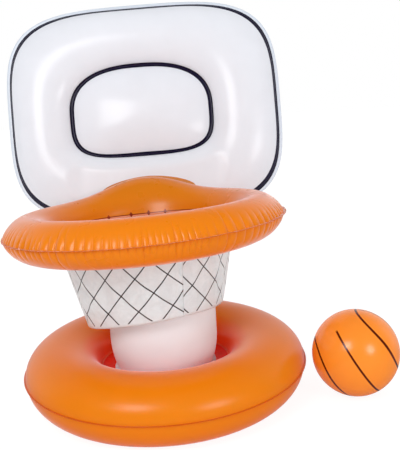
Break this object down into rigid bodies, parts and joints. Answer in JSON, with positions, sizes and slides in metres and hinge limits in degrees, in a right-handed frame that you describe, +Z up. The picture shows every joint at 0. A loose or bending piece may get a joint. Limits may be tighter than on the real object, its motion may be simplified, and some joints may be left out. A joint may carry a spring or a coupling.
{
  "type": "floating basketball hoop",
  "caption": "Inflatable pool basketball hoop: ring base, column with net skirt, hoop ring and rounded backboard, with a loose inflated ball beside it.",
  "frame": {"origin": "middle of the whole set's footprint, on the floor that the base ring and the ball rest on", "axes": "+Z up, +Y from the hoop towards the backboard, +X towards the ball"},
  "size_m": [1.0354, 0.8866, 1.0204],
  "materials": {
    "orange_vinyl": "smooth glossy calendered vinyl sheet",
    "hoop_orange_vinyl": "glossy vinyl sheet, puckered along its outer weld",
    "patch_orange_vinyl": "satin vinyl sheet",
    "column_white_vinyl": "glossy milky white vinyl sheet",
    "board_white_vinyl": "glossy white vinyl with a printed black outline",
    "net_film": "thin clear-milky film printed with net diamonds",
    "web_film": "thin orange film",
    "ball_orange_vinyl": "glossy vinyl printed with dark seam lines",
    "valve_soft_vinyl": "soft moulded clear vinyl"
  },
  "bodies": {
    "stand": {"base_ring_upper_skin": "orange_vinyl", "base_ring_lower_skin": "orange_vinyl", "column_wall": "column_white_vinyl", "column_bottom_disc": "column_white_vinyl", "base_floor_web": "web_film", "hoop_ring_upper_skin": "hoop_orange_vinyl", "hoop_ring_lower_skin": "hoop_orange_vinyl", "hoop_floor": "net_film", "net_skirt": "net_film", "backboard_front_skin": "board_white_vinyl", "backboard_rear_skin": "board_white_vinyl", "hoop_mounting_patch": "patch_orange_vinyl", "base_valve_flange": "valve_soft_vinyl", "column_valve_flange": "valve_soft_vinyl", "hoop_valve_flange": "valve_soft_vinyl", "board_valve_flange": "valve_soft_vinyl"},
    "ball": {"ball_skin": "ball_orange_vinyl", "ball_valve_flange": "valve_soft_vinyl"},
    "base_valve_stem": {"base_valve_stem": "valve_soft_vinyl"},
    "base_valve_plug": {"base_valve_plug": "valve_soft_vinyl"},
    "base_valve_flap": {"base_valve_flap": "valve_soft_vinyl"},
    "column_valve_stem": {"column_valve_stem": "valve_soft_vinyl"},
    "column_valve_plug": {"column_valve_plug": "valve_soft_vinyl"},
    "column_valve_flap": {"column_valve_flap": "valve_soft_vinyl"},
    "hoop_valve_stem": {"hoop_valve_stem": "valve_soft_vinyl"},
    "hoop_valve_plug": {"hoop_valve_plug": "valve_soft_vinyl"},
    "hoop_valve_flap": {"hoop_valve_flap": "valve_soft_vinyl"},
    "board_valve_stem": {"board_valve_stem": "valve_soft_vinyl"},
    "board_valve_plug": {"board_valve_plug": "valve_soft_vinyl"},
    "board_valve_flap": {"board_valve_flap": "valve_soft_vinyl"},
    "ball_valve_stem": {"ball_valve_stem": "valve_soft_vinyl"},
    "ball_valve_plug": {"ball_valve_plug": "valve_soft_vinyl"},
    "ball_valve_flap": {"ball_valve_flap": "valve_soft_vinyl"}
  },
  "joints": [
    {"name": "ball_lift", "type": "slide", "parent": "stand", "child": "ball", "axis": [0, 0, 1], "range_m": [0, 1.05]},
    {"name": "base_valve_pull", "type": "slide", "parent": "stand", "child": "base_valve_stem", "axis": [-0.0184, 0.2101, 0.9775], "range_m": [0, 0.012]},
    {"name": "base_valve_plug_strap", "type": "hinge", "parent": "base_valve_stem", "child": "base_valve_plug", "pos_m": [-0.08635, 0.20971, 0.15851], "axis": [-0.0852, 0.9738, -0.2109], "range_deg": [0, 150]},
    {"name": "base_valve_flap_hinge", "type": "hinge", "parent": "base_valve_stem", "child": "base_valve_flap", "pos_m": [-0.09269, 0.20526, 0.14052], "axis": [0.0852, -0.9738, 0.2109], "range_deg": [0, 60], "stiffness_Nm_per_rad": 0.0005},
    {"name": "column_valve_pull", "type": "slide", "parent": "stand", "child": "column_valve_stem", "axis": [-0.0866, 0.9895, -0.1158], "range_m": [0, 0.012]},
    {"name": "column_valve_plug_strap", "type": "hinge", "parent": "column_valve_stem", "child": "column_valve_plug", "pos_m": [-0.09716, 0.05786, 0.13645], "axis": [-0.0101, 0.1153, 0.9933], "range_deg": [0, 150]},
    {"name": "column_valve_flap_hinge", "type": "hinge", "parent": "column_valve_stem", "child": "column_valve_flap", "pos_m": [-0.08889, 0.04024, 0.13858], "axis": [0.0101, -0.1153, -0.9933], "range_deg": [0, 60], "stiffness_Nm_per_rad": 0.0005},
    {"name": "hoop_valve_pull", "type": "slide", "parent": "stand", "child": "hoop_valve_stem", "axis": [-0.5209, 0.2074, -0.828], "range_m": [0, 0.012]},
    {"name": "hoop_valve_plug_strap", "type": "hinge", "parent": "hoop_valve_stem", "child": "hoop_valve_plug", "pos_m": [-0.40182, 0.04588, 0.39748], "axis": [-0.7407, 0.3723, 0.5592], "range_deg": [0, 150]},
    {"name": "hoop_valve_flap_hinge", "type": "hinge", "parent": "hoop_valve_stem", "child": "hoop_valve_flap", "pos_m": [-0.38939, 0.04813, 0.41245], "axis": [0.7407, -0.3723, -0.5592], "range_deg": [0, 60], "stiffness_Nm_per_rad": 0.0005},
    {"name": "board_valve_pull", "type": "slide", "parent": "stand", "child": "board_valve_stem", "axis": [0.0701, 0.9365, -0.3437], "range_m": [0, 0.012]},
    {"name": "board_valve_plug_strap", "type": "hinge", "parent": "board_valve_stem", "child": "board_valve_plug", "pos_m": [0.15259, 0.33908, 0.5026], "axis": [0.5027, -0.3308, -0.7987], "range_deg": [0, 150]},
    {"name": "board_valve_flap_hinge", "type": "hinge", "parent": "board_valve_stem", "child": "board_valve_flap", "pos_m": [0.14553, 0.32106, 0.50561], "axis": [-0.5027, 0.3308, 0.7987], "range_deg": [0, 60], "stiffness_Nm_per_rad": 0.0005},
    {"name": "ball_valve_pull", "type": "slide", "parent": "ball", "child": "ball_valve_stem", "axis": [-0.4055, 0.7959, 0.4495], "range_m": [0, 0.012]},
    {"name": "ball_valve_plug_strap", "type": "hinge", "parent": "ball_valve_stem", "child": "ball_valve_plug", "pos_m": [0.35414, -0.0753, 0.15882], "axis": [0.2041, -0.4005, 0.8933], "range_deg": [0, 150]},
    {"name": "ball_valve_flap_hinge", "type": "hinge", "parent": "ball_valve_stem", "child": "ball_valve_flap", "pos_m": [0.36758, -0.08691, 0.15054], "axis": [-0.2041, 0.4005, -0.8933], "range_deg": [0, 60], "stiffness_Nm_per_rad": 0.0005}
  ]
}
